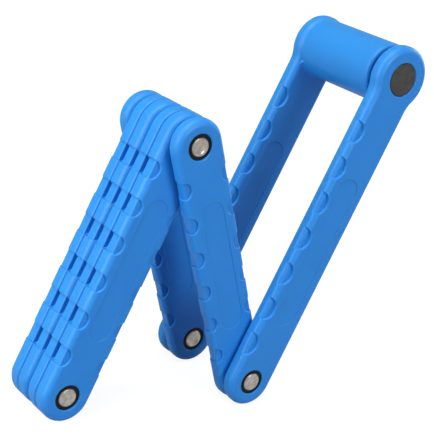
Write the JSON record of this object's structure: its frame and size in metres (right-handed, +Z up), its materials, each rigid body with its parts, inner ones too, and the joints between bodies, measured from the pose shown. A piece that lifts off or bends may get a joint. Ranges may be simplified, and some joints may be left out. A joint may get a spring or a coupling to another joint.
{
  "type": "folding bike lock",
  "caption": "Folding bike lock: covered steel links riveted in a zigzag chain, with a key-operated lock barrel on one end link and a socket eye on the other.",
  "frame": {"origin": "bottom centre of the box of the half-folded lock as it stands on the lower ends of its links", "axes": "+Z up, +Y along the rivets from the front end link with the steel disc towards the rear end link with the keyway, +X from the folded stack towards the lock barrel"},
  "size_m": [0.1636, 0.059, 0.1603],
  "materials": {
    "cover_rubber": "blue satin moulded silicone rubber",
    "link_steel": "hardened steel strip",
    "bush_nylon": "black nylon",
    "rivet_steel": "satin stainless, dimpled by the riveting tool",
    "socket_steel": "dark hardened steel, fine turned",
    "lock_steel": "plated steel",
    "bezel_steel": "polished",
    "lock_brass": "turned brass"
  },
  "bodies": {
    "rear_end_link": {"rear_end_plate": "link_steel", "rear_end_cover": "cover_rubber", "rear_end_bushes": "bush_nylon", "rear_foot_rivet": "rivet_steel", "barrel_housing": "lock_steel", "barrel_mouth_ring": "socket_steel", "lock_core": "lock_brass", "core_screw": "lock_steel", "keyway_bezel": "bezel_steel"},
    "rear_middle_link": {"rear_middle_plate": "link_steel", "rear_middle_cover": "cover_rubber", "rear_middle_bushes": "bush_nylon", "rear_top_rivet": "rivet_steel"},
    "stack_4_link": {"stack_4_plate": "link_steel", "stack_4_cover": "cover_rubber", "stack_4_bushes": "bush_nylon", "stack_foot_2_rivet": "rivet_steel"},
    "stack_3_link": {"stack_3_plate": "link_steel", "stack_3_cover": "cover_rubber", "stack_3_bushes": "bush_nylon", "stack_top_rivet": "rivet_steel"},
    "stack_2_link": {"stack_2_plate": "link_steel", "stack_2_cover": "cover_rubber", "stack_2_bushes": "bush_nylon", "stack_foot_1_rivet": "rivet_steel"},
    "stack_1_link": {"stack_1_plate": "link_steel", "stack_1_cover": "cover_rubber", "stack_1_bushes": "bush_nylon", "front_top_rivet": "rivet_steel"},
    "front_middle_link": {"front_middle_plate": "link_steel", "front_middle_cover": "cover_rubber", "front_middle_bushes": "bush_nylon", "front_foot_rivet": "rivet_steel"},
    "front_end_link": {"front_end_plate": "link_steel", "front_end_cover": "cover_rubber", "front_end_bushes": "bush_nylon", "eye_socket": "socket_steel"},
    "plug": {"key_plug": "lock_brass", "tumbler_discs": "lock_steel", "side_bar": "socket_steel", "bolt_cam": "socket_steel"},
    "bolt": {"lock_bolt": "lock_steel", "cam_pin": "lock_steel"}
  },
  "joints": [
    {"name": "rear_foot_fold", "type": "hinge", "parent": "rear_end_link", "child": "rear_middle_link", "pos_m": [0.01312, 0.0149, 0.0113], "axis": [0, -1, 0], "range_deg": [-43.31, 136.69]},
    {"name": "rear_top_fold", "type": "hinge", "parent": "rear_middle_link", "child": "stack_4_link", "pos_m": [-0.02868, 0.0075, 0.11843], "axis": [0, 1, 0], "range_deg": [-42.63, 137.37]},
    {"name": "stack_foot_2_fold", "type": "hinge", "parent": "stack_4_link", "child": "stack_3_link", "pos_m": [-0.07048, 0.0001, 0.0113], "axis": [0, -1, 0], "range_deg": [0, 180]},
    {"name": "stack_top_fold", "type": "hinge", "parent": "stack_3_link", "child": "stack_2_link", "pos_m": [-0.02868, -0.0073, 0.11843], "axis": [0, 1, 0], "range_deg": [0, 180]},
    {"name": "stack_foot_1_fold", "type": "hinge", "parent": "stack_2_link", "child": "stack_1_link", "pos_m": [-0.07048, -0.0147, 0.0113], "axis": [0, -1, 0], "range_deg": [0, 180]},
    {"name": "front_top_fold", "type": "hinge", "parent": "stack_1_link", "child": "front_middle_link", "pos_m": [-0.02868, -0.0221, 0.11843], "axis": [0, 1, 0], "range_deg": [-65, 222.63]},
    {"name": "front_foot_fold", "type": "hinge", "parent": "front_middle_link", "child": "front_end_link", "pos_m": [0.01312, -0.0295, 0.0113], "axis": [0, 1, 0], "range_deg": [-43.31, 136.69]},
    {"name": "key_turn", "type": "hinge", "parent": "rear_end_link", "child": "plug", "pos_m": [0.06758, 0.0155, 0.14611], "axis": [0, 1, 0], "range_deg": [0, 90]},
    {"name": "bolt_slide", "type": "slide", "parent": "rear_end_link", "child": "bolt", "axis": [0, -1, 0], "range_m": [0, 0.0058]}
  ],
  "couplings": [
    {"joint": "key_turn", "follows": "bolt_slide", "rad_per_m": 270.83}
  ]
}
